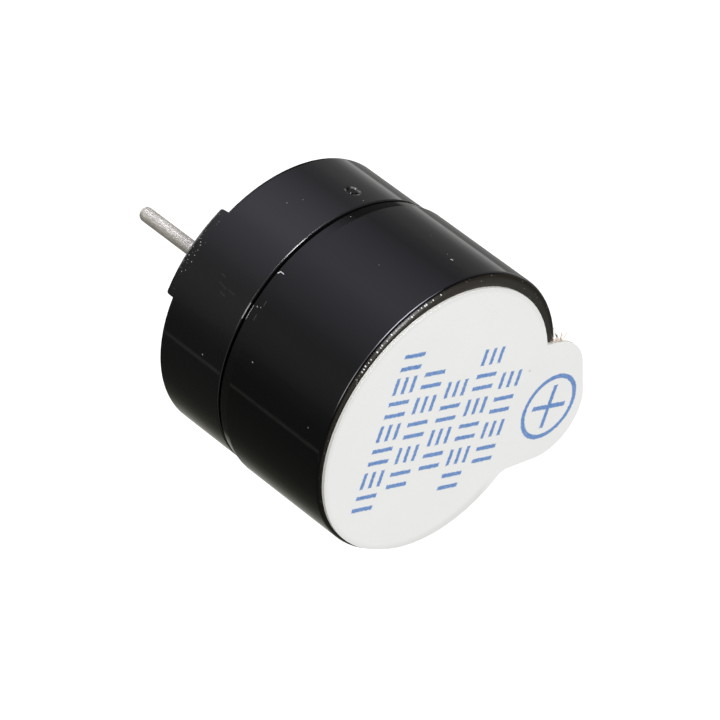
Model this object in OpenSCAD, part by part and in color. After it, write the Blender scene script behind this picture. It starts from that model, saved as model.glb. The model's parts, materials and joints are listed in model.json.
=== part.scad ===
// Active buzzer: a self-driven magnetic sounder in a round two-piece case, soldered by two pins.
// Frame: millimetres, +Z up through the sound hole, origin on the case's axis in the plane that the
// feet stand on, positive pin on +X and negative pin on -X.

/* [Case] */
// Diameter of the upper case
case_d = 12; // [11.6:0.1:14]
// Height from the base's lower rim to the top face
case_h = 9.4; // [8.8:0.1:11]
// Height from the base's lower rim to the joint line
base_h = 3.45; // [3.2:0.05:4.2]
// How far the base's side stands in from the upper case's side
base_step = 0.11; // [0:0.01:0.2]
// Wall of the upper case
case_wall = 0.75; // [0.6:0.05:0.9]
// Thickness of the top face
top_wall = 0.8; // [0.6:0.05:1.1]
// Diameter of the sound hole
sound_hole_d = 2.4; // [1.5:0.1:3.5]
// Round along the top edge
top_round = 0.35; // [0.1:0.05:0.5]
// Height of the bevel along the upper case's lower edge
lip_bevel_h = 0.5; // [0.2:0.05:0.8]
// Round along the upper case's lower edge, under the bevel
lip_round = 0.05; // [0.02:0.01:0.1]
// Height of the shadow groove at the joint line
groove_h = 0.14; // [0.06:0.02:0.24]
// Depth of the shadow groove at the joint line
groove_depth = 0.3; // [0.1:0.02:0.34]

/* [Base] */
// Height of the feet under the lower rim
foot_h = 0.35; // [0.2:0.05:0.6]
// Length of a foot along the rim, as a chord
foot_w = 3.8; // [2:0.1:5]
// Width of a foot across the rim
foot_t = 1.1; // [0.7:0.1:1.4]
// Round at the ends of a foot
foot_round = 0.25; // [0.1:0.05:0.3]
// Angle of the feet from the line of the pins
foot_turn = -3; // [-10:0.5:10]
// Round along the lower rim
rim_round = 0.25; // [0.1:0.05:0.4]
// Round along the base's edge at the joint line
joint_round = 0.06; // [0.02:0.01:0.1]
// Thickness of the floor
floor_t = 0.8; // [0.6:0.05:1.1]
// Wall of the spigot that goes up inside the upper case
spigot_wall = 0.45; // [0.35:0.05:0.6]
// Width of the ledge that carries the board
ledge_w = 0.5; // [0.3:0.05:0.6]
// Outer diameter of the gate mark on the side
gate_d = 0.56; // [0.4:0.02:0.8]
// Width of the gate mark's ring
gate_ring = 0.12; // [0.05:0.01:0.16]
// Depth of the gate mark
gate_depth = 0.06; // [0.03:0.01:0.12]
// Height of the gate mark above the lower rim
gate_rise = 2.5; // [1:0.05:2.6]
// Angle of the gate mark from the positive pin
gate_turn = 117; // [30:1:150]

/* [Pins] */
// Diameter of the pins
pin_d = 0.6; // [0.5:0.02:0.7]
// Distance of a pin's axis in from the board's edge
pin_inset = 0.9; // [0.8:0.05:1.4]
// Length of the positive pin below the feet
positive_pin_len = 5.2; // [4:0.1:9]
// Length of the negative pin below the feet
negative_pin_len = 4.15; // [2:0.05:8]
// Round at a pin's tip
pin_tip = 0.24; // [0.05:0.01:0.24]
// How far a pin stays round above the feet's plane, before its swaged shank
pin_round_up = 0.08; // [0.02:0.02:0.1]
// Length of a pin above the board
pin_tail = 0.5; // [0.35:0.05:0.6]

/* [Label] */
// How far the label's disc stays inside the case's side
label_margin = 0.34; // [0.1:0.01:1]
// Thickness of the label
label_t = 0.14; // [0.05:0.01:0.2]
// Shift of the label off the case's axis along X
label_shift_x = -0.26; // [-0.3:0.01:0.3]
// Shift of the label off the case's axis along Y
label_shift_y = -0.18; // [-0.3:0.01:0.3]
// Angle of the label's tab from the positive pin
label_turn = 21.4; // [0:0.1:90]
// Width of the tab on its short side
tab_short_w = 2.52; // [2:0.02:3]
// Reach of the tab past the disc on its short side
tab_short_reach = 1.44; // [1:0.02:2]
// Width of the tab on its long side, at the outer corner
tab_long_w = 2.38; // [1.8:0.02:2.6]
// Reach of the tab past the disc on its long side
tab_long_reach = 3.8; // [3:0.02:4.2]
// How much the tab widens from its outer corner to the disc on its long side
tab_flare = 0.58; // [0.4:0.02:1.4]
// Round of the tab's corner on its short side
tab_short_round = 1.92; // [1:0.01:2.5]
// Round of the tab's corner on its long side
tab_long_round = 2.05; // [1:0.01:2.4]
// Fillet between the tab's long side and the disc's bulge
tab_fillet = 0.7; // [0.1:0.05:1.6]
// How far the disc bulges out beside the tab's long side
label_bulge = 0.23; // [0.05:0.01:0.4]
// How much smaller the bulge's radius is than the disc's
bulge_inset = 0.26; // [0.1:0.01:0.5]
// Angle of the bulge from the tab
bulge_turn = -41; // [-60:1:-25]

/* [Sound drive] */
// Height of the pole above the yoke plate
core_h = 2.6; // [2.2:0.1:3.2]
// Diameter of the pole
core_d = 1.9; // [1.7:0.1:2.4]
// Diameter of the pole's rivet through the yoke plate
rivet_d = 1.4; // [1:0.1:1.6]
// Thickness of the yoke plate
yoke_t = 0.7; // [0.65:0.05:1]
// Wall of the ring magnet
magnet_wall = 1.1; // [1:0.1:1.5]
// How far the magnet's top lies below the pole's end
magnet_drop = 0.4; // [0.2:0.1:1]
// How far the coil's top lies below the pole's end
coil_drop = 0.3; // [0.2:0.1:0.8]
// Share of the winding space that the drive winding takes
drive_share = 0.57; // [0.4:0.01:0.65]
// Diameter of a winding end
lead_d = 0.15; // [0.1:0.01:0.2]
// Number of winding ends
lead_count = 3; // [2:1:4]
// Distance between neighbouring winding ends
lead_space = 0.65; // [0.6:0.01:0.8]
// Gap between the pole's end and the diaphragm
air_gap = 0.25; // [0.15:0.05:0.5]
// Thickness of the diaphragm
diaphragm_t = 0.1; // [0.05:0.01:0.2]
// Diameter of the armature disc
armature_d = 4.4; // [3:0.1:6]
// Thickness of the armature disc
armature_t = 0.4; // [0.2:0.05:0.6]

/* [Board] */
// Thickness of the board
board_t = 0.8; // [0.6:0.1:1.2]
// Space between floor and board
board_space = 1.15; // [1.1:0.05:1.5]
// Length of the transistor's body
transistor_l = 2.9; // [2.5:0.1:3.1]
// Width of the transistor's body
transistor_w = 1.3; // [1.1:0.1:1.5]
// Height of the transistor's body
transistor_h = 0.95; // [0.7:0.05:1]
// Distance between neighbouring transistor leads
transistor_pitch = 0.95; // [0.8:0.05:1.1]
// Length of the resistor
resistor_l = 1.6; // [1.2:0.1:2]
// Width of the resistor
resistor_w = 0.8; // [0.6:0.05:1]
// Height of the resistor
resistor_h = 0.45; // [0.3:0.05:0.6]
// Length of the resistor's metal ends
resistor_end = 0.3; // [0.2:0.05:0.4]
// Radius of a pin's solder cone on the board
solder_r = 0.75; // [0.55:0.05:0.85]

/* [Clearances] */
// Radial clearance of the spigot in the upper case
spigot_clear = 0.05; // [0.02:0.01:0.1]
// Radial clearance of the diaphragm in the upper case
diaphragm_clear = 0.2; // [0.1:0.05:0.25]
// Radial clearance of the board in the base
board_clear = 0.05; // [0.02:0.01:0.1]
// Radial clearance of yoke plate and magnet in the base
magnet_clear = 0.15; // [0.1:0.05:0.25]
// Radial gap between coil and magnet
coil_clear = 0.4; // [0.3:0.05:0.5]
// Radial gap round each winding
winding_clear = 0.03; // [0.02:0.01:0.06]
// Radial clearance of the pins in the floor
pin_clear = 0.03; // [0.02:0.01:0.06]
// Radial clearance of a pin or winding end in the board, which solder fills
solder_gap = 0.08; // [0.05:0.01:0.1]
// Gap between a solder cone and what is cut back round it
notch_clear = 0.2; // [0.15:0.05:0.3]
// Gap between transistor body and board
standoff = 0.05; // [0.03:0.01:0.1]

/* [Hidden] */
$fn = 96;
over = 0.5;

case_r = case_d / 2;
base_r = case_r - base_step;
cap_in_r = case_r - case_wall;
spigot_r = cap_in_r - spigot_clear;
drive_r = spigot_r - spigot_wall;
ledge_r = drive_r - ledge_w;
board_r = drive_r - board_clear;
magnet_r = drive_r - magnet_clear;
magnet_in_r = magnet_r - magnet_wall;
coil_r = magnet_in_r - coil_clear;
core_r = core_d / 2;
rivet_r = rivet_d / 2;
drive_coil_in_r = core_r + winding_clear;
drive_coil_r = drive_coil_in_r + (coil_r - drive_coil_in_r - winding_clear) * drive_share;
feedback_coil_in_r = drive_coil_r + winding_clear;
diaphragm_r = cap_in_r - diaphragm_clear;
label_r = case_r - label_margin;
pin_r = pin_d / 2;
pin_pitch = 2 * (board_r - pin_inset);
pin_x = pin_pitch / 2;
pin_sides = 8;
lead_r = lead_d / 2;
lead_place_r = coil_r + lead_r;
lead_step = 2 * asin(lead_space / 2 / lead_place_r);
board_pin_hole_r = pin_r + solder_gap;
board_lead_hole_r = lead_r + solder_gap;

rim_z = foot_h;
floor_z = rim_z + floor_t;
board_z = floor_z + board_space;
yoke_z = board_z + board_t;
magnet_z = yoke_z + yoke_t;
core_top_z = magnet_z + core_h;
diaphragm_z = core_top_z + air_gap;
armature_z = diaphragm_z + diaphragm_t;
joint_z = rim_z + base_h;
lip_z = joint_z + groove_h;
top_z = rim_z + case_h;

fillet_sink = 0.01;
lead_len = 0.6;
lead_dot_r = 0.26;
lead_dot_h = 0.2;
solder_h = 0.4;
solder_waist = 0.04;
window_margin = 0.3;
transistor_draft = 0.12;
transistor_lead_t = 0.12;
transistor_lead_w = 0.4;
transistor_lead_out = 0.3;
transistor_foot = 0.3;
transistor_margin = 0.35;
transistor_y = transistor_margin + transistor_foot + transistor_lead_out + transistor_w / 2 - ledge_r;
resistor_y = 1;
resistor_wrap = 0.03;
armature_round = 0.08;
core_round = 0.1;

function unit(v) = v / norm(v);

function arc(centre, r, start, sweep, steps) =
    [for (i = [0 : steps]) let (a = start + sweep * i / steps) centre + r * [cos(a), sin(a)]];

// Points of the arc of radius r that rounds a corner of an outline.
function corner_arc(before, corner, after, r, steps) =
    let (
        d1 = unit(before - corner),
        d2 = unit(after - corner),
        half = acos(d1 * d2) / 2,
        centre = corner + unit(d1 + d2) * r / sin(half),
        first = corner + d1 * r / tan(half) - centre,
        last = corner + d2 * r / tan(half) - centre,
        start = atan2(first[1], first[0]),
        turn = atan2(last[1], last[0]) - start,
        sweep = turn > 180 ? turn - 360 : turn < -180 ? turn + 360 : turn
    )
    arc(centre, r, start, sweep, steps);

// What is cut from an outer upper corner at the origin to round it.
module corner_cut(r) {
    translate([-r, -r])
        difference() {
            square(r + over);
            circle(r);
        }
}

module tube(outer_r, inner_r, h) {
    difference() {
        cylinder(r = outer_r, h = h);
        translate([0, 0, -over])
            cylinder(r = inner_r, h = h + 2 * over);
    }
}

// Places its children at the winding ends, which come down beside the coil on +Y.
module at_leads() {
    for (i = [0 : lead_count - 1])
        rotate((i - (lead_count - 1) / 2) * lead_step)
            translate([0, lead_place_r, 0])
                children();
}

module at_pins() {
    for (side = [-1, 1])
        translate([side * pin_x, 0, 0])
            children();
}

// Moulded cup with a sound hole in its top and a bevelled lower lip.
module upper_case() {
    land_r = base_r - groove_depth;
    bevel_top = [case_r, lip_z + lip_bevel_h];
    lip = [base_r, lip_z];
    land = [land_r, lip_z];
    arc_steps = 4;
    color("#17171a")
        rotate_extrude()
            difference() {
                polygon(concat(
                    [[sound_hole_d / 2, top_z], [case_r, top_z], bevel_top],
                    corner_arc(bevel_top, lip, land, lip_round, arc_steps),
                    [
                        land,
                        [land_r, joint_z],
                        [cap_in_r, joint_z],
                        [cap_in_r, top_z - top_wall],
                        [sound_hole_d / 2, top_z - top_wall]
                    ]
                ));
                translate([case_r, top_z])
                    corner_cut(top_round);
            }
}

// Stand-off feet: two pieces of the rim's ring with rounded ends, cut by one bar across the base.
module feet() {
    intersection() {
        rotate_extrude()
            difference() {
                translate([base_r - foot_t, 0])
                    square([foot_t, rim_z + rim_round]);
                translate([base_r, 0])
                    mirror([0, 1])
                        corner_cut(rim_round);
            }
        rotate([90, 0, 90 + foot_turn])
            linear_extrude(height = 2 * case_r, center = true)
                difference() {
                    translate([-foot_w / 2, 0])
                        square([foot_w, rim_z + rim_round]);
                    for (side = [0, 1])
                        mirror([side, 0])
                            translate([foot_w / 2, 0])
                                mirror([0, 1])
                                    corner_cut(foot_round);
                }
    }
}

// V-shaped ring pressed into the side where the moulding was filled.
module gate_mark() {
    outer = gate_d / 2;
    inner = outer - gate_ring;
    rotate([0, 0, gate_turn])
        translate([base_r, 0, rim_z + gate_rise])
            rotate([0, 90, 0])
                rotate_extrude()
                    polygon([
                        [inner, over],
                        [inner, 0],
                        [(inner + outer) / 2, -gate_depth],
                        [outer, 0],
                        [outer, over]
                    ]);
}

// Moulded base: floor, board ledge cut back round the pins' solder, and a spigot whose upper edge
// carries the diaphragm.
module base_case() {
    color("#151518")
        difference() {
            union() {
                rotate_extrude()
                    difference() {
                        polygon([
                            [0, rim_z],
                            [base_r, rim_z],
                            [base_r, joint_z],
                            [spigot_r, joint_z],
                            [spigot_r, diaphragm_z],
                            [drive_r, diaphragm_z],
                            [drive_r, board_z],
                            [ledge_r, board_z],
                            [ledge_r, floor_z],
                            [0, floor_z]
                        ]);
                        translate([base_r, joint_z])
                            corner_cut(joint_round);
                        translate([base_r, rim_z])
                            mirror([0, 1])
                                corner_cut(rim_round);
                    }
                feet();
            }
            at_pins() {
                cylinder(r = pin_r + pin_clear, h = board_z);
                translate([0, 0, floor_z])
                    cylinder(r = solder_r + notch_clear, h = board_space);
            }
            gate_mark();
        }
}

// The label about its disc's centre, with the tab on +X.
module label_film() {
    long_corner = [label_r + tab_long_reach, -tab_long_w];
    short_corner = [label_r + tab_short_reach, tab_short_w];
    short_root = [0, tab_short_w];
    arc_steps = 16;
    along = unit([-tab_long_reach, -tab_flare]);
    outward = [-along[1], along[0]];
    bulge_r = label_r - bulge_inset;
    bulge_centre = (label_bulge + bulge_inset) * [cos(bulge_turn), sin(bulge_turn)];
    // The fillet's circle touches the tab's long side and just enters the bulge.
    near = long_corner + outward * tab_fillet - bulge_centre;
    reach = bulge_r + tab_fillet - fillet_sink;
    run = -(near * along) - sqrt(pow(near * along, 2) - near * near + pow(reach, 2));
    fillet_centre = bulge_centre + near + along * run;
    inward = bulge_centre - fillet_centre;
    fillet_start = atan2(-outward[1], -outward[0]);
    fillet_sweep = atan2(inward[1], inward[0]) - fillet_start;
    cylinder(r = label_r, h = label_t);
    translate(bulge_centre)
        cylinder(r = bulge_r, h = label_t);
    linear_extrude(height = label_t)
        polygon(concat(
            [short_root],
            corner_arc(short_root, short_corner, long_corner, tab_short_round, arc_steps),
            corner_arc(short_corner, long_corner, long_corner + along, tab_long_round, arc_steps),
            arc(fillet_centre, tab_fillet, fillet_start, fillet_sweep, arc_steps),
            [[0, -tab_long_w]]
        ));
}

// Film over the sound hole, with a tab to pull it off.
module seal_label() {
    color("#e9eaea")
        translate([label_shift_x, label_shift_y, top_z])
            rotate(label_turn)
                label_film();
}

// Round below the feet, with a rounded tip and a swaged shank that goes up through floor and board.
module pin(len) {
    rotate_extrude()
        difference() {
            translate([0, -len])
                square([pin_r, len + pin_round_up]);
            translate([pin_r, -len])
                mirror([0, 1])
                    corner_cut(pin_tip);
        }
    translate([0, 0, pin_round_up])
        cylinder(r = pin_r, h = yoke_z + pin_tail - pin_round_up, $fn = pin_sides);
}

module positive_pin() {
    color("#beb9b4")
        translate([pin_x, 0, 0])
            pin(positive_pin_len);
}

module negative_pin() {
    color("#beb9b4")
        translate([-pin_x, 0, 0])
            pin(negative_pin_len);
}

// Thin spring disc that the pole pulls on.
module diaphragm() {
    color("#c9ccd0")
        translate([0, 0, diaphragm_z])
            cylinder(r = diaphragm_r, h = diaphragm_t);
}

// Iron mass welded to the middle of the diaphragm.
module armature_disc() {
    color("#8d9095")
        translate([0, 0, armature_z])
            rotate_extrude()
                difference() {
                    square([armature_d / 2, armature_t]);
                    translate([armature_d / 2, armature_t])
                        corner_cut(armature_round);
                }
}

module ring_magnet() {
    color("#3b3b3e")
        translate([0, 0, magnet_z])
            tube(magnet_r, magnet_in_r, core_h - magnet_drop);
}

// Iron plate under magnet and coil, cut back round the pins and open under the winding ends.
module yoke_plate() {
    color("#a3a6a8")
        translate([0, 0, yoke_z])
            difference() {
                tube(magnet_r, rivet_r, yoke_t);
                at_pins()
                    translate([0, 0, -over])
                        cylinder(r = solder_r + notch_clear, h = yoke_t + 2 * over);
                at_leads()
                    translate([0, 0, -over])
                        cylinder(r = lead_r + window_margin, h = yoke_t + 2 * over);
            }
}

// Iron pole with a rivet that fills the yoke plate's hole.
module pole_core() {
    color("#a3a6a8")
        rotate_extrude()
            difference() {
                union() {
                    translate([0, magnet_z])
                        square([core_r, core_h]);
                    translate([0, yoke_z])
                        square([rivet_r, yoke_t + over]);
                }
                translate([core_r, core_top_z])
                    corner_cut(core_round);
            }
}

module drive_coil() {
    color("#b8642a")
        translate([0, 0, magnet_z])
            tube(drive_coil_r, drive_coil_in_r, core_h - coil_drop);
}

module feedback_coil() {
    color("#c0702f")
        translate([0, 0, magnet_z])
            tube(coil_r, feedback_coil_in_r, core_h - coil_drop);
}

module coil_leads() {
    color("#c0702f")
        at_leads()
            translate([0, 0, board_z - lead_dot_h])
                cylinder(r = lead_r, h = lead_dot_h + board_t + yoke_t + lead_len);
}

module circuit_board() {
    color("#8a6a3c")
        translate([0, 0, board_z])
            difference() {
                cylinder(r = board_r, h = board_t);
                at_pins()
                    translate([0, 0, -over])
                        cylinder(r = board_pin_hole_r, h = board_t + 2 * over);
                at_leads()
                    translate([0, 0, -over])
                        cylinder(r = board_lead_hole_r, h = board_t + 2 * over);
            }
}

// Moulded body under the board, widest in a band at the height of its leads.
module transistor_body() {
    half_w = transistor_w / 2;
    mid = standoff + transistor_h / 2;
    band = transistor_lead_t / 2;
    color("#1f1f21")
        translate([-transistor_l / 2, transistor_y, board_z])
            rotate([90, 0, 90])
                linear_extrude(height = transistor_l)
                    polygon([
                        [-half_w + transistor_draft, -standoff],
                        [-half_w, -mid + band],
                        [-half_w, -mid - band],
                        [-half_w + transistor_draft, -standoff - transistor_h],
                        [half_w - transistor_draft, -standoff - transistor_h],
                        [half_w, -mid - band],
                        [half_w, -mid + band],
                        [half_w - transistor_draft, -standoff]
                    ]);
}

// One bent lead, from the body's side on +Y up to the board.
module transistor_lead() {
    t = transistor_lead_t;
    bend = transistor_lead_out;
    mid = standoff + transistor_h / 2;
    translate([-transistor_lead_w / 2, 0, 0])
        rotate([90, 0, 90])
            linear_extrude(height = transistor_lead_w)
                polygon([
                    [0, -mid - t / 2],
                    [bend, -mid - t / 2],
                    [bend, -t],
                    [bend + transistor_foot, -t],
                    [bend + transistor_foot, 0],
                    [bend - t, 0],
                    [bend - t, -mid + t / 2],
                    [0, -mid + t / 2]
                ]);
}

module transistor_leads() {
    color("#b9bcc0")
        translate([0, transistor_y, board_z]) {
            translate([0, transistor_w / 2, 0])
                transistor_lead();
            for (side = [-1, 1])
                translate([side * transistor_pitch, -transistor_w / 2, 0])
                    mirror([0, 1, 0])
                        transistor_lead();
        }
}

module resistor_body() {
    inner_l = resistor_l - 2 * resistor_end;
    color("#2a2a2c")
        translate([-inner_l / 2, resistor_y - resistor_w / 2, board_z - resistor_h])
            cube([inner_l, resistor_w, resistor_h - resistor_wrap]);
}

module resistor_ends() {
    color("#c4c6c9")
        for (side = [0, 1])
            mirror([side, 0, 0])
                translate([resistor_l / 2 - resistor_end, resistor_y - resistor_w / 2, board_z - resistor_h])
                    cube([resistor_end, resistor_w, resistor_h]);
}

// Solder that stands as a cone on both of the board's faces and draws in to a waist in the pin's hole.
module pin_solder_joint() {
    rotate_extrude()
        polygon([
            [pin_r, board_z - solder_h],
            [solder_r, board_z],
            [board_pin_hole_r, board_z],
            [pin_r + solder_waist, board_z + board_t / 2],
            [board_pin_hole_r, yoke_z],
            [solder_r, yoke_z],
            [pin_r, yoke_z + solder_h]
        ]);
}

module pin_solder() {
    color("#c8cacc")
        at_pins()
            pin_solder_joint();
}

module lead_solder() {
    color("#c8cacc")
        at_leads()
            rotate_extrude()
                polygon([
                    [lead_r, board_z - lead_dot_h],
                    [lead_dot_r, board_z],
                    [board_lead_hole_r, board_z],
                    [board_lead_hole_r, yoke_z],
                    [lead_r, yoke_z]
                ]);
}

upper_case();
base_case();
seal_label();
positive_pin();
negative_pin();
diaphragm();
armature_disc();
ring_magnet();
yoke_plate();
pole_core();
drive_coil();
feedback_coil();
coil_leads();
circuit_board();
transistor_body();
transistor_leads();
resistor_body();
resistor_ends();
pin_solder();
lead_solder();
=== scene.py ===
"""Looks of the active buzzer: materials, fine detail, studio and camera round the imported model."""

import json
import math
import random

import bmesh
import bpy
from mathutils import Matrix, Vector


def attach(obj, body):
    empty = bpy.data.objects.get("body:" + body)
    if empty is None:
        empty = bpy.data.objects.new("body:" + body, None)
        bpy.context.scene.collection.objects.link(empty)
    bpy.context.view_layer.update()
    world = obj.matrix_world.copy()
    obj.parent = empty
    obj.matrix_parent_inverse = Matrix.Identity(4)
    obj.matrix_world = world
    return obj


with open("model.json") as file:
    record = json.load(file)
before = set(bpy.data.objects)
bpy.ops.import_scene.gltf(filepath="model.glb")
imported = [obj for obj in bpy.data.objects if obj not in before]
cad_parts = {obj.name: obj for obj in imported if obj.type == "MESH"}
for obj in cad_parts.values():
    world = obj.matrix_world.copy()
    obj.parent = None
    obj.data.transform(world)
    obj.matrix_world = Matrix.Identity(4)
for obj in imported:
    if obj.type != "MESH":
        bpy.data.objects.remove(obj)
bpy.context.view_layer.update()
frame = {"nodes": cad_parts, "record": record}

MM = 0.001

# Camera: its place in millimetres, its axes, and the lens for a square picture on a 36 mm sensor.
CAMERA_AT = (-172.114, 28.146, 119.307)
CAMERA_RIGHT = (0.52900, 0.52154, 0.66944)
CAMERA_UP = (-0.19425, 0.84233, -0.50274)
CAMERA_BACK = (-0.82610, 0.13591, 0.54690)
LENS = 275.6
SENSOR = 36.0
CLIP_START = 0.01

# Radius of the case and heights along its axis, in millimetres.
CASE_RADIUS = 6.0
FOOT_EDGE = 0.45
CASE_TOP = 9.75
LABEL_TOP = 9.89

# The label's own frame: the turn of its tab about the axis, and its centre in millimetres.
LABEL_TURN = math.radians(21.4)
LABEL_CENTRE = (-0.26, -0.18)
LABEL_RADIUS = 5.66

# Painted shade on the rim of the film's disc: width, strength, and where it fades out along the tab's axis.
FILM_RIM = 0.22
FILM_RIM_SHADE = 0.32
FILM_RIM_FADE = (4.6, 4.2)

# Tuft of torn fibres at the corner where the tab's short side leaves the disc, in the label's frame, in
# millimetres: the corner, the row of roots beside it, and the fibres' sizes.
NOTCH = (5.07, 2.52)
ROOT_START = 0.34
ROOT_RUN = 0.58
ROOT_TUCK = 0.02
ROOT_DEPTH = (0.05, 0.12)
TUFT_SEED = 7
FIBRES = 26
FIBRE_STEPS = 7
FIBRE_LENGTH = (0.12, 0.34)
FIBRE_RADIUS = (0.010, 0.019)
FIBRE_CURL = 0.16
FIBRE_TIP = 0.55
LONG_FIBRE = 16
LONG_LENGTH = 0.62

# Printed ring with a plus, in the label's frame, in millimetres.
MARK_CENTRE = (6.49, -0.42)
MARK_RADIUS = 1.36
MARK_STROKE = 0.20
MARK_ARMS = (0.92, 0.96)

# One small grey fleck on the film, in the same frame.
LABEL_FLECK = (4.54, 1.46)

# Rows of plain printed strokes: place along the tab's axis, first and last edge across it, and cells.
PRINT_ROWS = (
    (3.52, -2.60, 1.80, 4),
    (2.00, -3.56, 3.03, 6),
    (0.46, -2.40, 1.82, 4),
    (-1.10, -2.98, 2.48, 5),
    (-2.62, -3.75, 3.43, 7),
)
ROW_HALF = 0.55
STROKE_HALF = 0.09
UPRIGHT_OFF = 0.27
LEVEL_OFF = ROW_HALF - STROKE_HALF
LEVEL_HALF = 0.36

# Turned walls: ring of the round at the upper edge (radius, height), span of height, and least radius.
CASE_TURNED = ((5.65, 9.40), (4.46, 9.76), 5.30)
BASE_TURNED = ((5.83, 3.74), (3.30, 3.81), 5.60)

# Black plastics: level of the colour, roughness, and index of refraction.
CASE_BLACK = (0.0024, 0.06, 1.50)
BASE_BLACK = (0.0042, 0.07, 1.58)
# Spark-textured zones: lower and upper height, and haze.
RIM_TEXTURE = (9.57, 9.80, 0.28)
FOOT_TEXTURE = (-0.1, FOOT_EDGE, 0.03)
HAZE_TONE = (0.032, 0.022, 0.010, 1)
# Pale grey of dust and scuffs, also used for painted highlights and glints.
WEAR_AND_HIGHLIGHT_LEVEL = 0.75

# Gate mark on the base: its angle from -X, height and radius.
GATE_TURN = -63.0
GATE_Z = 2.85
GATE_RADIUS = 0.28

# Pale marks on the side: angle from -X and height of both ends, half width, and strength.
# Most are scuffs and specks; the long thin line along the lip's lower edge at 3.97 mm is a painted
# highlight.
CASE_MARKS_AND_HIGHLIGHTS = (
    (-15.0, 4.00, -16.0, 4.08, 0.026, 0.95), (-16.0, 4.08, -15.9, 4.28, 0.020, 0.85),
    (-63.0, 8.26, -63.2, 8.30, 0.032, 0.80), (-64.3, 7.90, -64.3, 7.92, 0.016, 0.40),
    (16.5, 5.16, 16.6, 5.18, 0.030, 0.45), (-1.0, 4.16, -0.8, 4.17, 0.024, 0.55),
    (-1.5, 4.34, -1.4, 4.36, 0.020, 0.50), (-0.4, 3.97, 5.4, 3.97, 0.018, 0.60),
    (-4.5, 4.42, -2.6, 4.43, 0.016, 0.08), (1.5, 4.36, 3.8, 4.36, 0.016, 0.08),
    (24.0, 8.60, 24.1, 8.62, 0.022, 0.40), (-40.0, 6.90, -39.9, 6.92, 0.014, 0.30),
)
# Pale marks on the base, same columns: scuffs and specks, and painted highlights
# in the thin lines along the round of the joint at 3.772 and 3.78 mm.
BASE_MARKS_AND_HIGHLIGHTS = (
    (27.5, 2.68, 27.6, 2.70, 0.026, 0.50), (-0.4, 3.78, 6.0, 3.78, 0.016, 0.45),
    (-30.5, 3.772, -24.5, 3.772, 0.015, 0.90), (-24.5, 3.772, -22.0, 3.772, 0.011, 0.60),
    (0.2, 2.10, 1.0, 2.50, 0.040, 0.012), (0.6, 2.66, 0.9, 2.95, 0.040, 0.012),
    (3.0, 2.35, 3.3, 2.60, 0.035, 0.016), (-2.6, 2.00, -2.4, 2.20, 0.035, 0.016),
    (-62.0, 3.55, -61.9, 3.56, 0.020, 0.35), (-44.0, 2.20, -43.9, 2.22, 0.014, 0.35),
)
# Row of painted glints on the round of the top edge: span of angle, height, cells per mm, radius, share.
RIM_GLINTS = ((-46.0, -6.0), 9.622, 6.0, 0.040, 0.70)
GLINT_SWAY = 0.016
# Painted glints on the near foot: span of angle, span of height, cells per mm, radius, share.
FOOT_GLINTS = ((-6.5, 4.0), (0.06, 0.56), 7.5, 0.028, 0.65)
FOOT_WALL = 0.25
# Specks: smallest as a share of the radius, and where a speck's edge starts and ends to fade.
DOT_LEAST = 0.35
DOT_FADE = (1.0, 0.6)

# Label: two tones each of film, gum and ink; the fibres; the grey of the edge's painted shade and a fleck.
FILM_TONES = ((0.795, 0.798, 0.780, 1), (0.835, 0.835, 0.818, 1))
GUM_TONES = ((0.62, 0.60, 0.53, 1), (0.72, 0.70, 0.64, 1))
INK_TONES = ((0.060, 0.190, 0.500, 1), (0.085, 0.235, 0.560, 1))
FILM_FIBRE = (0.74, 0.742, 0.725, 1)
FILM_SHADE_AND_FLECK = (0.56, 0.56, 0.54, 1)
TUFT_TONES = ((0.46, 0.34, 0.25, 1), (0.90, 0.82, 0.74, 1))

# Light and dark tone of the metals and the sintered or moulded small parts.
TONES = {
    "pin_metal": ((0.98, 0.95, 0.87, 1), (0.57, 0.54, 0.47, 1)),
    "tinned_lead": ((0.58, 0.59, 0.61, 1), (0.45, 0.46, 0.48, 1)),
    "spring_steel": ((0.62, 0.63, 0.65, 1), (0.52, 0.53, 0.55, 1)),
    "soft_iron": ((0.31, 0.31, 0.33, 1), (0.22, 0.22, 0.235, 1)),
    "plated_iron": ((0.46, 0.47, 0.48, 1), (0.36, 0.37, 0.38, 1)),
    "ferrite": ((0.062, 0.062, 0.068, 1), (0.036, 0.036, 0.040, 1)),
    "package_black": ((0.017, 0.017, 0.018, 1), (0.011, 0.011, 0.012, 1)),
    "chip_ceramic": ((0.032, 0.032, 0.034, 1), (0.018, 0.018, 0.019, 1)),
}
WIRE_NICK = (0.20, 0.19, 0.18, 1)
COPPER_TONES = ((0.43, 0.115, 0.030, 1), (0.60, 0.20, 0.060, 1))
# Darker colour between the coil's turns: painted shade.
COPPER_GAP_SHADE = (0.16, 0.035, 0.012, 1)
BOARD_TONES = ((0.20, 0.105, 0.034, 1), (0.33, 0.195, 0.075, 1))
BOARD_FLECK = (0.10, 0.05, 0.02, 1)
SOLDER_TONES = ((0.63, 0.64, 0.65, 1), (0.40, 0.36, 0.29, 1))

# Studio, in metres and watts. The floor glows at one level for light it gives and another where it is seen.
WORLD_LEVEL = 0.5
FLOOR_Z = -0.09
FLOOR_HALF = 4.0
FLOOR_COLOUR = (0.82, 0.82, 0.82, 1)
FLOOR_GIVEN = 0.2
FLOOR_SEEN = 0.5
KEY_AT = (-0.344, 0.356, 0.46)
KEY_AIM = (0, 0, 0)
KEY_SIZE = (0.20, 0.20)
KEY_POWER = 3.62

# Rows of the funnel of panels round the part: radius, height, and kind.
PANEL_COUNT = 360
PANEL_ROWS = (
    (0.100, 0.0600, "dark"), (0.100, 0.0060, "dark"),
    (0.100, -0.0020, "edge"), (0.100, -0.0100, "edge"),
    (0.100, -0.0150, "side"), (0.100, -0.0755, "side"),
    (0.100, -0.0800, "steep"), (0.100, -0.0885, "steep"), (0.020, -0.0885, "steep"),
)
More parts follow.
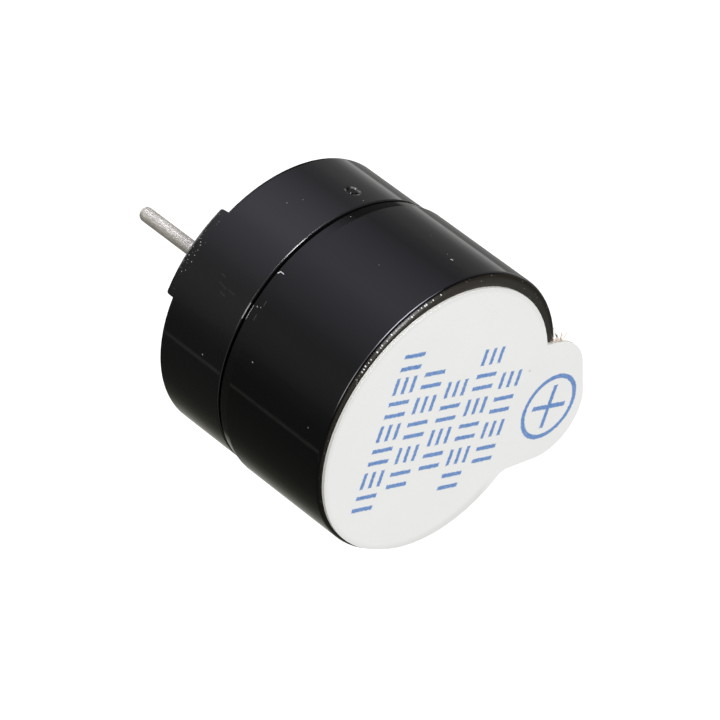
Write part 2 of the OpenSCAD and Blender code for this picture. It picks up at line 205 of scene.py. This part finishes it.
# Brightness of the panels that the upright side mirrors, by angle from +X.
SIDE_GLOW = (
    (0, 0.30), (24, 0.28), (26, 0.32), (28, 0.92), (32, 0.76), (36, 0.55), (44, 0.35), (52, 0.30),
    (64, 0.29), (68, 0.26), (80, 0.25), (92, 0.40), (104, 0.56), (116, 0.70), (129, 0.79), (136, 0.77),
    (144, 0.68), (156, 0.56), (168, 0.44), (176, 0.33), (184, 0.28), (196, 0.28), (208, 0.23),
    (216, 0.17), (220, 0.12), (232, 0.07), (246, 0.06), (248, 0.25), (250, 0.06), (290, 0.06),
    (304, 0.09), (312, 0.15), (320, 0.26), (328, 0.34), (336, 0.46), (348, 0.36), (360, 0.30),
)
# Brightness of the low panels that the bevel above the joint mirrors.
STEEP_GLOW = (
    (0, 0.05), (70, 0.05), (86, 0.25), (98, 0.44), (108, 0.54), (123, 0.60), (138, 0.53),
    (153, 0.44), (169, 0.34), (185, 0.24), (200, 0.22), (215, 0.19), (230, 0.12), (244, 0.06),
    (300, 0.04), (332, 0.06), (360, 0.05),
)
# Brightness of the lamp edge that draws a line along the foot of the top round.
EDGE_GLOW = (
    (0, 0.08), (100, 0.08), (112, 5.0), (126, 20.0), (150, 20.0), (163, 5.0), (172, 2.0), (183, 7.0),
    (200, 7.0), (208, 1.0), (216, 0.08), (360, 0.08),
)
DARK_GLOW = ((0, 0.06), (360, 0.06))
GLOW = {"side": SIDE_GLOW, "steep": STEEP_GLOW, "edge": EDGE_GLOW, "dark": DARK_GLOW}
# Tint of the panels by angle: bluish where the broad soft box stands, warm on the far side.
PANEL_TINT = (
    (0, (1.0, 1.0, 0.97)), (60, (1.0, 1.0, 1.0)), (90, (0.98, 0.96, 1.14)), (165, (0.98, 0.97, 1.12)),
    (190, (1.0, 1.0, 1.02)), (230, (1.0, 1.0, 0.97)), (300, (1.03, 1.01, 0.84)), (360, (1.0, 1.0, 0.97)),
)
PANEL_COLOURS = tuple((angle, Vector(tint)) for angle, tint in PANEL_TINT)


class Graph:
    """A material and short calls that build its nodes."""

    def __init__(self, name):
        self.material = bpy.data.materials.new(name)
        self.material.use_nodes = True
        self.tree = self.material.node_tree
        self.shader = self.tree.nodes["Principled BSDF"]

    def feed(self, socket, value):
        if isinstance(value, bpy.types.NodeSocket):
            self.tree.links.new(value, socket)
        else:
            socket.default_value = value

    def add(self, kind, inputs=(), **settings):
        node = self.tree.nodes.new(kind)
        for key, value in settings.items():
            setattr(node, key, value)
        for key, value in dict(inputs).items():
            self.feed(node.inputs[key], value)
        return node

    def set(self, **inputs):
        """Sets or links the shader's inputs: base_color stands for Base Color."""
        names = {s.name.lower().replace(" ", "_"): s for s in self.shader.inputs}
        for key, value in inputs.items():
            self.feed(names[key], value)

    def math(self, operation, *values, clamp=False):
        node = self.add("ShaderNodeMath", operation=operation, use_clamp=clamp)
        for socket, value in zip(node.inputs, values):
            self.feed(socket, value)
        return node.outputs[0]

    def fold(self, operation, values):
        result = values[0]
        for value in values[1:]:
            result = self.math(operation, result, value)
        return result

    def highest(self, *values):
        return self.fold("MAXIMUM", values)

    def lowest(self, *values):
        return self.fold("MINIMUM", values)

    def squares(self, a, b):
        """Sum of both squares."""
        return self.math("MULTIPLY_ADD", a, a, self.math("MULTIPLY", b, b))

    def millimetres(self, stretch=(1.0, 1.0, 1.0)):
        """Place on the object in millimetres, with each axis stretched."""
        place = self.add("ShaderNodeTexCoord").outputs["Object"]
        scale = tuple(s / MM for s in stretch)
        return self.add("ShaderNodeMapping", {"Vector": place, "Scale": scale}).outputs[0]

    def axes(self, vector):
        return self.add("ShaderNodeSeparateXYZ", {0: vector}).outputs

    def noise(self, vector, scale, detail=2.0, roughness=0.5):
        inputs = {"Vector": vector, "Scale": scale, "Detail": detail, "Roughness": roughness}
        return self.add("ShaderNodeTexNoise", inputs).outputs[0]

    def span(self, value, start, end, low=0.0, high=1.0):
        """Runs from low to high while value runs from start to end."""
        inputs = {0: value, 1: start, 2: end, 3: low, 4: high}
        return self.add("ShaderNodeMapRange", inputs).outputs[0]

    def blend(self, share, low, high):
        """Runs from low to high while share runs from 0 to 1."""
        return self.span(share, 0.0, 1.0, low, high)

    def graded(self, noise, low=0.0, high=1.0):
        """Runs from low to high over the middle of a noise."""
        return self.span(noise, 0.3, 0.7, low, high)

    def band(self, value, low, high, soft):
        """1 between low and high, falling to 0 over soft on both sides."""
        rise = self.span(value, low - soft, low)
        return self.math("MULTIPLY", rise, self.span(value, high + soft, high))

    def specks(self, vector, scale, radius, share=1.0, kind="3D"):
        """1 inside small scattered dots of up to that radius, 0 elsewhere. Share of the cells have one."""
        cell = self.add("ShaderNodeTexVoronoi", {"Vector": vector, "Scale": scale}, voronoi_dimensions=kind)
        chance = self.axes(cell.outputs["Color"])
        size = self.blend(chance[1], DOT_LEAST * radius * scale, radius * scale)
        dot = self.span(self.math("DIVIDE", cell.outputs["Distance"], size), *DOT_FADE)
        return self.math("MULTIPLY", dot, self.math("LESS_THAN", chance[0], share))

    def vector(self, operation, first, second=None, **inputs):
        values = {0: first, **inputs} if second is None else {0: first, 1: second}
        return self.add("ShaderNodeVectorMath", values, operation=operation).outputs

    def stroke(self, place, start, end, radius, strength):
        """Strength on a short stroke between two points of the flat side, falling off at that radius."""
        run = Vector((*end, 0.0)) - Vector((*start, 0.0))
        out = self.vector("SUBTRACT", place, (*start, 0.0))[0]
        along = self.vector("DOT_PRODUCT", out, tuple(run / run.length_squared))["Value"]
        share = self.lowest(self.highest(along, 0.0), 1.0)
        near = self.vector("SCALE", tuple(run), Scale=share)[0]
        away = self.vector("DISTANCE", out, near)["Value"]
        full = self.math("MULTIPLY_ADD", away, -2.0 / radius, 2.0)
        return self.math("MULTIPLY", self.lowest(full, 1.0), strength)

    def turned_normal(self, place, ring, heights, inside):
        """Normal of a turned wall that ends in a round about a ring (radius, height).

        Used between two heights and outside a radius; elsewhere the mesh's own normal.
        """
        x, y, z = self.axes(place)
        radius = self.math("SQRT", self.squares(x, y))
        out = self.math("DIVIDE", self.highest(self.math("SUBTRACT", radius, ring[0]), 0.0), radius)
        up = self.highest(self.math("SUBTRACT", z, ring[1]), 0.0)
        turned = self.add("ShaderNodeCombineXYZ", {
            0: self.math("MULTIPLY", x, out), 1: self.math("MULTIPLY", y, out), 2: up,
        }).outputs[0]
        turned = self.vector("NORMALIZE", turned)[0]
        above = self.math("GREATER_THAN", z, heights[0])
        within = self.math("MULTIPLY", above, self.math("LESS_THAN", z, heights[1]))
        within = self.math("MULTIPLY", within, self.math("GREATER_THAN", radius, inside))
        own = self.add("ShaderNodeNewGeometry").outputs["Normal"]
        step = self.vector("SCALE", self.vector("SUBTRACT", turned, own)[0], Scale=within)[0]
        return self.vector("ADD", own, step)[0]

    def unrolled(self, place, radius):
        """The side laid flat in millimetres: arc from -X, height, zero."""
        x, y, z = self.axes(place)
        turn = self.math("ARCTAN2", self.math("MULTIPLY", y, -1.0), self.math("MULTIPLY", x, -1.0))
        along = self.math("MULTIPLY", turn, radius)
        return self.add("ShaderNodeCombineXYZ", {0: along, 1: z}).outputs[0]

    def mix(self, factor, first, second):
        node = self.add("ShaderNodeMix", data_type="RGBA")
        for index, value in ((0, factor), (6, first), (7, second)):
            self.feed(node.inputs[index], value)
        return node.outputs[2]

    def bump(self, height, depth, normal=None):
        """Bump whose height from 0 to 1 stands for a depth in millimetres."""
        node = self.add("ShaderNodeBump", {"Height": height, "Distance": depth * MM, "Strength": 1.0})
        if normal is not None:
            self.feed(node.inputs["Normal"], normal)
        return node.outputs[0]


def grey(level, warm=0.0):
    return (level * (1 + warm), level, level * (1 - warm), 1.0)


def arc(turn):
    """Arc on the case's side from -X, in millimetres, for an angle in degrees."""
    return CASE_RADIUS * math.radians(turn)


def gate_painted_highlight(g, flat):
    """Painted highlight as a pale broken ring on the gate mark, and the dull patch round it."""
    centre = (arc(GATE_TURN), GATE_Z, 0.0)
    out = g.vector("DISTANCE", flat, centre)["Value"]
    broken = g.span(g.noise(flat, 4.5, 2.0), 0.44, 0.60)
    ring = g.span(g.math("ABSOLUTE", g.math("SUBTRACT", out, GATE_RADIUS)), 0.07, 0.02)
    return g.math("MULTIPLY", ring, broken), g.span(out, GATE_RADIUS + 0.12, GATE_RADIUS - 0.04)


def glint_row(g, flat, turns, height, scale, radius, share):
    """One uneven row of pale specks along the side at a height: painted glints."""
    turn, z = g.axes(flat)[0:2]
    cell = g.add("ShaderNodeTexVoronoi", {"W": turn, "Scale": scale}, voronoi_dimensions="1D")
    chance = g.axes(cell.outputs["Color"])
    along = g.math("DIVIDE", cell.outputs["Distance"], scale)
    off = g.math("SUBTRACT", z, g.blend(chance[1], height - GLINT_SWAY, height + GLINT_SWAY))
    away = g.math("SQRT", g.squares(along, off))
    size = g.blend(chance[2], DOT_LEAST * radius, radius)
    dot = g.span(g.math("DIVIDE", away, size), *DOT_FADE)
    chosen = g.math("LESS_THAN", chance[0], share)
    chosen = g.math("MULTIPLY", chosen, g.band(turn, arc(turns[0]), arc(turns[1]), 0.6))
    return g.math("MULTIPLY", dot, chosen)


def glint_zone(g, place, flat, turns, heights, scale, radius, share):
    """Fine pale specks, painted glints, on the outer wall inside a span of angle and height."""
    turn, height = g.axes(flat)[0:2]
    x, y = g.axes(place)[0:2]
    out = g.squares(x, y)
    inside = g.band(turn, arc(turns[0]), arc(turns[1]), 0.4)
    inside = g.math("MULTIPLY", inside, g.band(height, *heights, 0.012))
    inside = g.math("MULTIPLY", inside, g.math("GREATER_THAN", out, (CASE_RADIUS - FOOT_WALL) ** 2))
    inside = g.math("MULTIPLY", inside, g.span(g.noise(flat, 4.0), 0.38, 0.62, 0.15, 1.0))
    return g.math("MULTIPLY", g.specks(flat, scale, radius, share, "2D"), inside)


def wear_and_painted_highlights(g, place, flat, zone, marks_and_highlights, gated):
    """Pale dust, scuffs, painted glints and painted highlights on the plastic, from 0 to 1."""
    dust = g.math("MULTIPLY", g.specks(place, 1.3, 0.030, 0.12), 0.35)
    # Fine pale specks in the spark-textured zone are painted glints.
    painted_zone_glints = g.specks(place, 9.0, 0.022, 0.4)
    wear_and_highlight = g.highest(dust, g.math("MULTIPLY", painted_zone_glints, g.math("MULTIPLY", zone, 0.4)))
    if gated:
        wear_and_highlight = g.highest(wear_and_highlight, glint_zone(g, place, flat, *FOOT_GLINTS))
    else:
        wear_and_highlight = g.highest(wear_and_highlight, glint_row(g, flat, *RIM_GLINTS))
    for a, b, c, d, radius, strength in marks_and_highlights:
        wear_and_highlight = g.highest(wear_and_highlight, g.stroke(flat, (arc(a), b), (arc(c), d), radius, strength))
    return wear_and_highlight


def black_plastic(name, body, gloss, ior, textured, turned, marks_and_highlights, gated=False):
    """Glossy moulded black with a spark-textured zone of height, wear, painted highlights and a little
    dust.

    body is the colour's level and gloss the roughness.
    """
    g = Graph(name)
    place = g.millimetres()
    flat = g.unrolled(place, CASE_RADIUS)
    height = g.axes(flat)[1]
    cloud = g.noise(place, 0.30, 3.0)
    smear = g.noise(g.millimetres((0.5, 0.5, 2.4)), 0.8, 4.0, 0.6)
    peel = g.noise(place, 2.6, 1.0)
    spark = g.noise(place, 13.0, 3.0, 0.7)
    low, high, haze = textured
    zone = g.band(height, low, high, 0.03)
    wear_and_highlight = wear_and_painted_highlights(g, place, flat, zone, marks_and_highlights, gated)
    if gated:
        # The gate mark's pale ring is a painted highlight; its dull patch lowers the gloss.
        ring, dull = gate_painted_highlight(g, flat)
        wear_and_highlight = g.highest(wear_and_highlight, g.math("MULTIPLY", ring, 0.18))
        g.set(specular_ior_level=g.blend(dull, 0.5, 0.22))

    tone = g.mix(cloud, grey(0.8 * body, -0.05), grey(1.2 * body, -0.05))
    tone = g.mix(g.math("MULTIPLY", zone, haze), tone, HAZE_TONE)
    # Pale where dust and scuffs lie, and where highlights and glints are painted.
    g.set(base_color=g.mix(wear_and_highlight, tone, grey(WEAR_AND_HIGHLIGHT_LEVEL)))
    rough = g.math("ADD", g.graded(smear, gloss - 0.02, gloss + 0.03), g.math("MULTIPLY", zone, haze))
    g.set(roughness=g.math("ADD", rough, g.math("MULTIPLY", wear_and_highlight, 0.4), clamp=True))
    grain = g.math("MULTIPLY", g.math("SUBTRACT", spark, 0.5), zone)
    relief = g.math("ADD", g.math("MULTIPLY", grain, 2.5), g.math("ADD", peel, wear_and_highlight))
    g.set(normal=g.bump(relief, 0.0016, g.turned_normal(place, *turned)), ior=ior)
    return g.material


def box_distance(g, a, half_a, b, half_b):
    return g.highest(g.math("SUBTRACT", a, half_a), g.math("SUBTRACT", b, half_b))


def mark_distance(g, u, v):
    """How far a place on the label lies outside the ring and its plus."""
    du = g.math("SUBTRACT", u, MARK_CENTRE[0])
    dv = g.math("SUBTRACT", v, MARK_CENTRE[1])
    out = g.math("SQRT", g.math("ADD", g.math("MULTIPLY", du, du), g.math("MULTIPLY", dv, dv)))
    line = MARK_STROKE / 2
    ring = g.math("SUBTRACT", g.math("ABSOLUTE", g.math("SUBTRACT", out, MARK_RADIUS)), line)
    du, dv = g.math("ABSOLUTE", du), g.math("ABSOLUTE", dv)
    arms = [box_distance(g, du, MARK_ARMS[0], dv, line), box_distance(g, dv, MARK_ARMS[1], du, line)]
    return g.lowest(ring, *arms)


def row_distance(g, u, v, middle, first, last, cells):
    """How far a place lies outside one row's strokes.

    Every other cell has two upright strokes, and the cells between have three level ones.
    """
    pitch = (last - first) / cells
    off = g.math("ABSOLUTE", g.math("SUBTRACT", u, middle))
    run = g.math("DIVIDE", g.math("SUBTRACT", v, first), pitch)
    cell = g.math("FLOOR", run)
    across = g.math("MULTIPLY", g.math("SUBTRACT", g.math("SUBTRACT", run, cell), 0.5), pitch)
    across = g.math("ABSOLUTE", across)
    aside = g.math("ABSOLUTE", g.math("SUBTRACT", across, UPRIGHT_OFF))
    upright = box_distance(g, aside, STROKE_HALF, off, ROW_HALF)
    near = g.lowest(off, g.math("ABSOLUTE", g.math("SUBTRACT", off, LEVEL_OFF)))
    level = box_distance(g, near, STROKE_HALF, across, LEVEL_HALF)
    odd = g.math("FLOORED_MODULO", cell, 2.0)
    strokes = g.math("ADD", upright, g.math("MULTIPLY", odd, g.math("SUBTRACT", level, upright)))
    away = g.math("ABSOLUTE", g.math("SUBTRACT", v, (first + last) / 2))
    ends = g.math("SUBTRACT", away, (last - first) / 2)
    return g.highest(strokes, ends)


def film_edge_shade_and_fleck(g, flat, u, top):
    """1 for painted shade on the film's cut edge, fading inwards on the disc, and on one small grey fleck.
    """
    out = g.vector("DISTANCE", flat, (0.0, 0.0, LABEL_TOP))["Value"]
    rim_shade = g.span(out, LABEL_RADIUS - FILM_RIM, LABEL_RADIUS, 0.0, FILM_RIM_SHADE)
    rim_shade = g.math("MULTIPLY", rim_shade, g.span(u, *FILM_RIM_FADE))
    fleck = g.vector("DISTANCE", flat, (*LABEL_FLECK, LABEL_TOP))["Value"]
    return g.highest(rim_shade, g.math("SUBTRACT", 1.0, top), g.span(fleck, 0.07, 0.03))


def label_frame(g):
    """Place on the label in its own frame, in millimetres."""
    return g.add("ShaderNodeMapping", vector_type="TEXTURE", inputs={
        "Vector": g.add("ShaderNodeTexCoord").outputs["Object"],
        "Location": (LABEL_CENTRE[0] * MM, LABEL_CENTRE[1] * MM, 0.0),
        "Rotation": (0.0, 0.0, LABEL_TURN),
        "Scale": (MM, MM, MM),
    }).outputs[0]


def label_film(name):
    """Matt white film with blue print on top and a duller adhesive side below."""
    g = Graph(name)
    place = g.millimetres()
    height = g.axes(place)[2]
    flat = label_frame(g)
    wobble = g.noise(place, 9.0, 2.0)
    u, v = g.axes(flat)[0:2]
    shapes = [mark_distance(g, u, v)] + [row_distance(g, u, v, *row) for row in PRINT_ROWS]
    away = g.math("ADD", g.lowest(*shapes), g.graded(wobble, -0.02, 0.02))
    top = g.span(height, LABEL_TOP - 0.03, LABEL_TOP - 0.02)
    patchy = g.span(g.noise(place, 16.0, 3.0, 0.7), 0.30, 0.62, 0.72, 1.0)
    ink = g.math("MULTIPLY", g.math("MULTIPLY", g.span(away, 0.02, -0.02), patchy), top)

    fibre = g.noise(g.millimetres((1.0, 2.2, 1.0)), 7.0, 4.0, 0.65)
    cloud = g.noise(place, 0.45, 3.0)
    film = g.mix(cloud, *FILM_TONES)
    film = g.mix(g.span(fibre, 0.45, 0.75, 0.0, 0.25), film, FILM_FIBRE)
    # Painted shade on the film's cut edge and along its rim, and one grey fleck.
    film = g.mix(film_edge_shade_and_fleck(g, flat, u, top), film, FILM_SHADE_AND_FLECK)
    gum = g.mix(cloud, *GUM_TONES)
    below = g.span(height, CASE_TOP + 0.03, CASE_TOP + 0.01)
    sheet = g.mix(below, film, gum)
    g.set(base_color=g.mix(ink, sheet, g.mix(cloud, *INK_TONES)))
    rough = g.blend(below, 0.62, 0.28)
    g.set(roughness=g.math("SUBTRACT", rough, g.math("MULTIPLY", ink, 0.12)))
    g.set(normal=g.bump(g.math("ADD", fibre, g.math("MULTIPLY", ink, 0.2)), 0.006), ior=1.45)
    return g.material


def drawn_wire(name, light, dark, gloss, metal):
    """Dull tinned wire with lengthwise draw lines, nicks and a faint oxide bloom."""
    g = Graph(name)
    place = g.millimetres()
    lines = g.noise(g.millimetres((1.0, 1.0, 0.09)), 17.0, 4.0, 0.7)
    bloom = g.noise(place, 2.2, 4.0, 0.6)
    nicks = g.span(g.noise(g.millimetres((1.0, 1.0, 0.30)), 11.0, 2.0, 0.6), 0.66, 0.72)
    tone = g.mix(g.span(lines, 0.32, 0.68), dark, light)
    tone = g.mix(g.span(bloom, 0.42, 0.70, 0.0, 0.45), tone, dark)
    g.set(base_color=g.mix(g.math("MULTIPLY", nicks, 0.5), tone, WIRE_NICK), metallic=metal)
    g.set(roughness=g.graded(bloom, gloss - 0.06, gloss + 0.10))
    g.set(normal=g.bump(g.math("SUBTRACT", lines, nicks), 0.006))
    return g.material


def sheet_metal(name, light, dark, gloss, stretch, scale):
    """Rolled, plated or cast metal: streaked by stretch, mottled by scale."""
    g = Graph(name)
    streak = g.noise(g.millimetres(stretch), 6.0, 4.0, 0.65)
    mottle = g.noise(g.millimetres(), scale, 4.0, 0.6)
    g.set(base_color=g.mix(g.graded(mottle), dark, light), metallic=1.0)
    g.set(roughness=g.graded(streak, gloss - 0.06, gloss + 0.08))
    g.set(normal=g.bump(g.math("ADD", streak, mottle), 0.004))
    return g.material


def ceramic(name, light, dark, gloss, scale):
    """Sintered or coated body with fine grain and pits; the pits are darkened with painted shade."""
    g = Graph(name)
    place = g.millimetres()
    grain = g.noise(place, scale, 5.0, 0.7)
    pits = g.specks(place, 4.0, 0.05)
    tone = g.mix(g.graded(grain), dark, light)
    # Darker in the pits: painted shade.
    g.set(base_color=g.mix(g.math("MULTIPLY", pits, 0.6), tone, dark))
    g.set(roughness=g.graded(grain, gloss - 0.08, gloss + 0.08))
    g.set(normal=g.bump(g.math("SUBTRACT", grain, pits), 0.012))
    return g.material


def enamelled_wire(name):
    """Fine copper turns under a clear enamel, with painted shade between the turns."""
    g = Graph(name)
    place = g.millimetres()
    wave = {"Vector": place, "Scale": 5.2, "Distortion": 0.35}
    turns = g.add("ShaderNodeTexWave", wave, bands_direction="Z").outputs[1]
    lay = g.noise(place, 1.6, 3.0)
    tone = g.mix(lay, *COPPER_TONES)
    g.set(base_color=g.mix(turns, COPPER_GAP_SHADE, tone), metallic=0.85)
    g.set(roughness=g.graded(lay, 0.22, 0.36))
    g.set(normal=g.bump(turns, 0.03), coat_weight=0.5, coat_roughness=0.12)
    return g.material


def laminate(name):
    """Paper laminate: warm brown with short fibres and darker flecks."""
    g = Graph(name)
    place = g.millimetres()
    fibre = g.noise(g.millimetres((1.0, 4.5, 1.0)), 3.2, 5.0, 0.7)
    fleck = g.specks(place, 2.4, 0.06)
    tone = g.mix(g.graded(fibre), *BOARD_TONES)
    g.set(base_color=g.mix(g.math("MULTIPLY", fleck, 0.7), tone, BOARD_FLECK))
    g.set(roughness=g.graded(fibre, 0.42, 0.58), normal=g.bump(fibre, 0.01))
    return g.material


def solder(name):
    """Bright tin with slow ripples and flux-dulled patches."""
    g = Graph(name)
    place = g.millimetres()
    ripple = g.noise(place, 3.4, 2.0)
    flux = g.noise(place, 1.2, 3.0)
    tone = g.mix(g.span(flux, 0.45, 0.7), *SOLDER_TONES)
    g.set(base_color=tone, metallic=1.0, roughness=g.span(flux, 0.35, 0.7, 0.16, 0.45))
    g.set(normal=g.bump(ripple, 0.03))
    return g.material


def tuft_fibre(name):
    """Pale tan fuzz of torn film and gum."""
    g = Graph(name)
    patch = g.noise(g.millimetres(), 9.0, 3.0)
    g.set(base_color=g.mix(patch, *TUFT_TONES))
    g.set(roughness=g.graded(patch, 0.5, 0.75))
    return g.material


def dress_nodes():
    """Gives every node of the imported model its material."""
    by_slot = {
        "case_plastic": black_plastic(
            "case_plastic_look", *CASE_BLACK, RIM_TEXTURE, CASE_TURNED, CASE_MARKS_AND_HIGHLIGHTS),
        "base_plastic": black_plastic(
            "base_plastic_look", *BASE_BLACK, FOOT_TEXTURE, BASE_TURNED, BASE_MARKS_AND_HIGHLIGHTS, gated=True),
        "label_film": label_film("label_film_look"),
        "pin_metal": drawn_wire("pin_metal_look", *TONES["pin_metal"], gloss=0.34, metal=0.72),
        "spring_steel": sheet_metal(
            "spring_steel_look", *TONES["spring_steel"], gloss=0.28, stretch=(0.3, 4.0, 1.0), scale=1.0),
        "soft_iron": sheet_metal(
            "soft_iron_look", *TONES["soft_iron"], gloss=0.46, stretch=(1.0, 1.0, 1.0), scale=2.5),
        "ferrite": ceramic("ferrite_look", *TONES["ferrite"], gloss=0.62, scale=6.0),
        "plated_iron": sheet_metal(
            "plated_iron_look", *TONES["plated_iron"], gloss=0.34, stretch=(1.0, 1.0, 0.4), scale=3.2),
        "enamelled_copper": enamelled_wire("enamelled_copper_look"),
        "board_laminate": laminate("board_laminate_look"),
        "package_black": ceramic("package_black_look", *TONES["package_black"], gloss=0.5, scale=14.0),
        "tinned_lead": drawn_wire("tinned_lead_look", *TONES["tinned_lead"], gloss=0.30, metal=1.0),
        "chip_ceramic": ceramic("chip_ceramic_look", *TONES["chip_ceramic"], gloss=0.34, scale=10.0),
        "solder": solder("solder_look"),
    }
    for part in frame["record"]["subparts"]:
        for entry in frame["nodes"][part["node"]].material_slots:
            entry.material = by_slot[part["material_slot"]]


def add_tube(mesh, points, radius, sides=6):
    """Adds a thin closed tube along the points to a bmesh."""
    rings = []
    for i, point in enumerate(points):
        ahead = points[min(i + 1, len(points) - 1)] - points[max(i - 1, 0)]
        turn = ahead.to_track_quat("Z", "Y")
        thin = radius * (FIBRE_TIP if i in (0, len(points) - 1) else 1.0)
        ring = []
        for k in range(sides):
            angle = 2 * math.pi * k / sides
            ring.append(mesh.verts.new(point + turn @ Vector((math.cos(angle), math.sin(angle), 0)) * thin))
        rings.append(ring)
    for low, high in zip(rings, rings[1:]):
        for k in range(sides):
            mesh.faces.new((low[k], low[(k + 1) % sides], high[(k + 1) % sides], high[k]))
    mesh.faces.new(list(reversed(rings[0])))
    mesh.faces.new(rings[-1])


def on_label(u, v, z):
    """Point of the label's frame, in millimetres, as a point of the part's frame."""
    c, s = math.cos(LABEL_TURN), math.sin(LABEL_TURN)
    return Vector((LABEL_CENTRE[0] + c * u - s * v, LABEL_CENTRE[1] + s * u + c * v, z))


def fibre_path(rng, index):
    """Points along one fibre, from its root at the film's edge, in metres."""
    root_u = NOTCH[0] + ROOT_START + ROOT_RUN * index / (FIBRES - 1)
    start = on_label(root_u, NOTCH[1] - ROOT_TUCK, LABEL_TOP - rng.uniform(*ROOT_DEPTH))
    lean = (rng.uniform(-0.7, 0.7), rng.uniform(0.6, 1.0), rng.uniform(-0.6, 0.0))
    curl = (rng.uniform(-1, 1), rng.uniform(-0.4, 0.4), rng.uniform(-0.8, 0.0))
    length = LONG_LENGTH if index == LONG_FIBRE else rng.uniform(*FIBRE_LENGTH)
    turn = Matrix.Rotation(LABEL_TURN, 3, "Z")
    lean, curl = turn @ Vector(lean).normalized(), turn @ Vector(curl)
    points = []
    for k in range(FIBRE_STEPS + 1):
        t = k / FIBRE_STEPS
        points.append((start + lean * length * t + curl * FIBRE_CURL * t * t) * MM)
    return points


def make_notch_tuft():
    """Small tuft of torn fibres where the tab leaves the label's disc."""
    rng = random.Random(TUFT_SEED)
    mesh = bmesh.new()
    for i in range(FIBRES):
        points = fibre_path(rng, i)
        add_tube(mesh, points, rng.uniform(*FIBRE_RADIUS) * MM)
    data = bpy.data.meshes.new("notch_tuft")
    mesh.to_mesh(data)
    mesh.free()
    data.shade_smooth()
    piece = bpy.data.objects.new("notch_tuft", data)
    bpy.context.scene.collection.objects.link(piece)
    data.materials.append(tuft_fibre("notch_tuft_look"))
    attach(piece, "root")


def stage_object(name, vertices, faces, material):
    data = bpy.data.meshes.new(name)
    data.from_pydata(vertices, [], faces)
    data.materials.append(material)
    thing = bpy.data.objects.new(name, data)
    bpy.context.scene.collection.objects.link(thing)
    return thing


def make_floor():
    """White floor well below the part, faintly lit from within like a light table."""
    g = Graph("floor_look")
    g.set(base_color=FLOOR_COLOUR, roughness=0.9, specular_ior_level=0.0)
    path = g.add("ShaderNodeLightPath").outputs
    seen = g.highest(path["Is Camera Ray"], path["Is Glossy Ray"], path["Is Transmission Ray"])
    g.set(emission_color=(1, 1, 1, 1), emission_strength=g.blend(seen, FLOOR_GIVEN, FLOOR_SEEN))
    s = FLOOR_HALF
    corners = [(-s, -s, FLOOR_Z), (s, -s, FLOOR_Z), (s, s, FLOOR_Z), (-s, s, FLOOR_Z)]
    stage_object("floor", corners, [(0, 1, 2, 3)], g.material)


def between(table, angle):
    """Value of a table of (angle, value) rows at an angle, straight between rows."""
    for (a, low), (b, high) in zip(table, table[1:]):
        if a <= angle <= b:
            return low + (high - low) * ((angle - a) / (b - a))
    raise ValueError(angle)


def panel_colour(angle, kind):
    return (*(between(PANEL_COLOURS, angle) * between(GLOW[kind], angle)), 1.0)


def glossy_only(thing):
    """Leaves a stage piece to be seen in reflections alone."""
    thing.visible_camera = False
    thing.visible_diffuse = False
    thing.visible_shadow = False


def glow_material(name):
    """Light that takes its colour and level from the mesh's own colours."""
    g = Graph(name)
    colour = g.add("ShaderNodeAttribute", attribute_name="glow").outputs["Color"]
    g.set(base_color=(0, 0, 0, 1), roughness=1.0, specular_ior_level=0.0)
    g.set(emission_color=colour, emission_strength=1.0)
    return g.material


def add_glow(thing, colours):
    layer = thing.data.attributes.new("glow", "FLOAT_COLOR", "POINT")
    layer.data.foreach_set("color", [channel for colour in colours for channel in colour])


def make_panels():
    """Funnel of studio panels that the glossy side mirrors."""
    rows = len(PANEL_ROWS)
    vertices, colours, faces = [], [], []
    for i in range(PANEL_COUNT):
        angle = 360 * i / PANEL_COUNT
        a = math.radians(angle)
        for radius, z, kind in PANEL_ROWS:
            vertices.append((radius * math.cos(a), radius * math.sin(a), z))
            colours.append(panel_colour(angle, kind))
        here, there = rows * i, rows * ((i + 1) % PANEL_COUNT)
        for k in range(rows - 1):
            faces.append((here + k, here + k + 1, there + k + 1, there + k))
    panels = stage_object("panels", vertices, faces, glow_material("panel_look"))
    add_glow(panels, colours)
    glossy_only(panels)


def make_lamp(name, place, aim, size, power):
    data = bpy.data.lights.new(name, "AREA")
    data.shape = "RECTANGLE"
    data.size, data.size_y = size
    data.energy = power
    lamp = bpy.data.objects.new(name, data)
    lamp.location = place
    lamp.rotation_euler = (Vector(aim) - Vector(place)).to_track_quat("-Z", "Y").to_euler()
    lamp.visible_camera = False
    bpy.context.scene.collection.objects.link(lamp)


def make_studio():
    scene = bpy.context.scene
    scene.view_settings.view_transform = "Standard"
    world = bpy.data.worlds.new("studio")
    world.use_nodes = True
    background = world.node_tree.nodes["Background"]
    background.inputs["Color"].default_value = (1.0, 1.0, 1.0, 1.0)
    background.inputs["Strength"].default_value = WORLD_LEVEL
    scene.world = world
    make_floor()
    make_panels()
    make_lamp("key", KEY_AT, KEY_AIM, KEY_SIZE, KEY_POWER)


def make_camera():
    data = bpy.data.cameras.new("photo_view")
    data.sensor_width = SENSOR
    data.lens = LENS
    data.clip_start = CLIP_START
    camera = bpy.data.objects.new("photo_view", data)
    turn = Matrix((CAMERA_RIGHT, CAMERA_UP, CAMERA_BACK)).transposed().to_4x4()
    camera.matrix_world = Matrix.Translation(Vector(CAMERA_AT) * MM) @ turn
    bpy.context.scene.collection.objects.link(camera)
    bpy.context.scene.camera = camera


make_camera()
make_studio()
dress_nodes()
make_notch_tuft()
